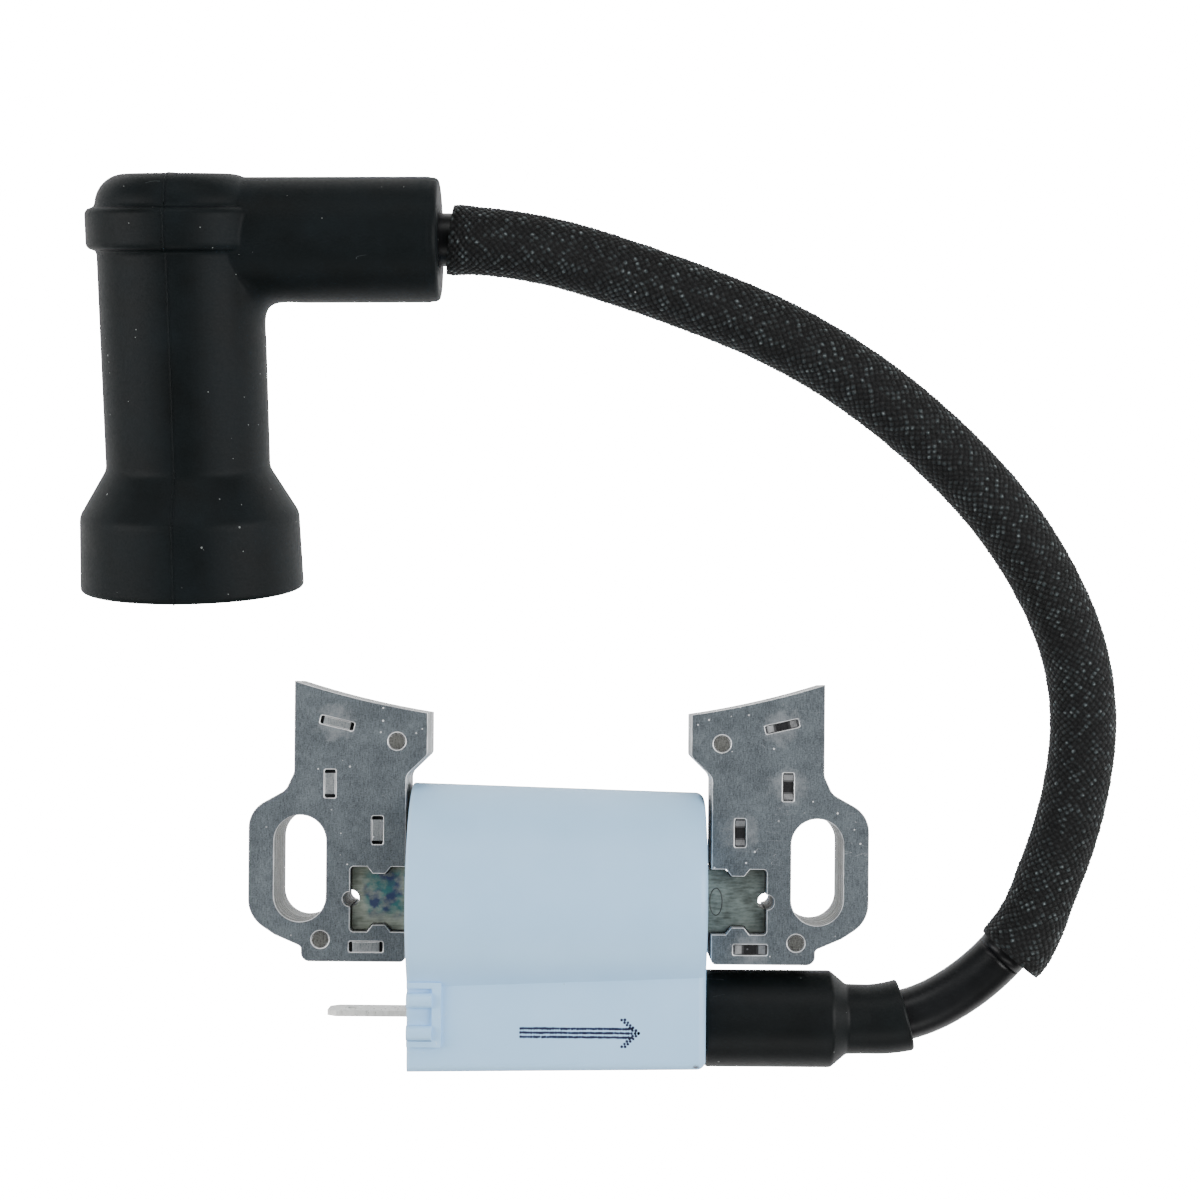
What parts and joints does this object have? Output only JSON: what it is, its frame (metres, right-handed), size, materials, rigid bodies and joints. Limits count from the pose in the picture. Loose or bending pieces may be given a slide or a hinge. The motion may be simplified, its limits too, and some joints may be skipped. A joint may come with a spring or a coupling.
{
  "type": "ignition coil",
  "caption": "Ignition coil for a small engine: potted coil on a laminated core with slotted legs, stop blade, sleeved high tension lead and elbow spark plug cap.",
  "frame": {"origin": "midpoint between the two mounting slots, on the laminations' mounting face", "axes": "+X from the stop terminal towards the high tension tower, +Y towards the flywheel, +Z out of the mounting face, away from the engine"},
  "size_m": [0.1412, 0.121, 0.037],
  "materials": {
    "lamination_steel": "zinc-grey stamped sheet, stacked edges visible",
    "core_steel": "varnished stamped sheet",
    "rivet_steel": "flush, dull",
    "case_plastic": "pale blue-grey moulded plastic, fine satin",
    "resin": "cured epoxy, dark",
    "bobbin_plastic": "natural nylon",
    "copper": "enamelled copper wire",
    "board_green": "glass fibre board",
    "component_black": "moulded package",
    "tinned_steel": "bright tin plating",
    "brass": "turned brass",
    "black_rubber": "moulded, matt",
    "lead_rubber": "extruded, semi-gloss",
    "braid": "fine diamond braid of black varnished fibre",
    "insulator_phenolic": "phenolic moulding"
  },
  "bodies": {
    "coil": {"left_pole_laminations": "lamination_steel", "right_pole_laminations": "lamination_steel", "left_pole_rivets": "rivet_steel", "right_pole_rivets": "rivet_steel", "centre_core_laminations": "core_steel", "primary_bobbin": "bobbin_plastic", "primary_winding": "copper", "secondary_bobbin": "bobbin_plastic", "secondary_winding": "copper", "igniter_board": "board_green", "power_transistor": "component_black", "board_components": "component_black", "stop_terminal": "tinned_steel", "ground_strip": "tinned_steel", "ht_terminal": "brass", "coil_housing": "case_plastic", "potting_resin": "resin", "tower_seal_boot": "black_rubber", "lead_jacket_root": "lead_rubber", "lead_conductor_root": "copper"},
    "lead_1": {"lead_jacket_1": "lead_rubber", "lead_conductor_1": "copper", "braided_sleeve_1": "braid"},
    "lead_2": {"lead_jacket_2": "lead_rubber", "lead_conductor_2": "copper", "braided_sleeve_2": "braid"},
    "lead_3": {"lead_jacket_3": "lead_rubber", "lead_conductor_3": "copper", "braided_sleeve_3": "braid"},
    "lead_4": {"lead_jacket_4": "lead_rubber", "lead_conductor_4": "copper", "braided_sleeve_4": "braid"},
    "lead_5": {"lead_jacket_5": "lead_rubber", "lead_conductor_5": "copper", "braided_sleeve_5": "braid"},
    "lead_6": {"lead_jacket_6": "lead_rubber", "lead_conductor_6": "copper", "braided_sleeve_6": "braid"},
    "lead_7": {"lead_jacket_7": "lead_rubber", "lead_conductor_7": "copper", "braided_sleeve_7": "braid"},
    "lead_8": {"lead_jacket_8": "lead_rubber", "lead_conductor_8": "copper", "braided_sleeve_8": "braid"},
    "plug_cap": {"plug_cap_boot": "black_rubber", "cap_insulator": "insulator_phenolic", "lead_screw": "brass", "suppressor_resistor": "component_black", "contact_spring": "tinned_steel", "plug_terminal_clip": "brass"}
  },
  "joints": [
    {"name": "lead_curl_1", "type": "hinge", "parent": "coil", "child": "lead_1", "pos_m": [0.0526, -0.01798, 0.00628], "axis": [0, -0.1056, 0.9944], "range_deg": [-12, 1], "stiffness_Nm_per_rad": 0.06},
    {"name": "lead_lift_2", "type": "hinge", "parent": "lead_1", "child": "lead_2", "pos_m": [0.06597, -0.00329, 0.00784], "axis": [0.915, -0.4013, -0.0426], "range_deg": [-8, 10], "stiffness_Nm_per_rad": 0.06},
    {"name": "lead_curl_3", "type": "hinge", "parent": "lead_2", "child": "lead_3", "pos_m": [0.07099, 0.01614, 0.0099], "axis": [0, -0.1056, 0.9944], "range_deg": [-12, 1], "stiffness_Nm_per_rad": 0.06},
    {"name": "lead_lift_4", "type": "hinge", "parent": "lead_3", "child": "lead_4", "pos_m": [0.06744, 0.03575, 0.01198], "axis": [0.9033, 0.4265, 0.0453], "range_deg": [-8, 10], "stiffness_Nm_per_rad": 0.06},
    {"name": "lead_curl_5", "type": "hinge", "parent": "lead_4", "child": "lead_5", "pos_m": [0.05603, 0.05231, 0.01374], "axis": [0, -0.1056, 0.9944], "range_deg": [-12, 1], "stiffness_Nm_per_rad": 0.06},
    {"name": "lead_lift_6", "type": "hinge", "parent": "lead_5", "child": "lead_6", "pos_m": [0.04068, 0.06542, 0.01513], "axis": [0.5693, 0.8175, 0.0868], "range_deg": [-8, 10], "stiffness_Nm_per_rad": 0.06},
    {"name": "lead_curl_7", "type": "hinge", "parent": "lead_6", "child": "lead_7", "pos_m": [0.02282, 0.07485, 0.01613], "axis": [0, -0.1056, 0.9944], "range_deg": [-12, 1], "stiffness_Nm_per_rad": 0.06},
    {"name": "lead_lift_8", "type": "hinge", "parent": "lead_7", "child": "lead_8", "pos_m": [0.00365, 0.08137, 0.01683], "axis": [0.2857, 0.953, 0.1012], "range_deg": [-8, 10], "stiffness_Nm_per_rad": 0.06},
    {"name": "cap_swivel", "type": "hinge", "parent": "lead_8", "child": "plug_cap", "pos_m": [-0.01635, 0.08417, 0.01712], "axis": [0.9999, 0.0104, 0.0011], "range_deg": [-90, 90], "stiffness_Nm_per_rad": 0.02}
  ],
  "couplings": [
    {"joint": "lead_curl_3", "follows": "lead_curl_1", "ratio": 1},
    {"joint": "lead_lift_4", "follows": "lead_lift_2", "ratio": 1},
    {"joint": "lead_curl_5", "follows": "lead_curl_1", "ratio": 1},
    {"joint": "lead_lift_6", "follows": "lead_lift_2", "ratio": 1},
    {"joint": "lead_curl_7", "follows": "lead_curl_1", "ratio": 1},
    {"joint": "lead_lift_8", "follows": "lead_lift_2", "ratio": 1}
  ]
}
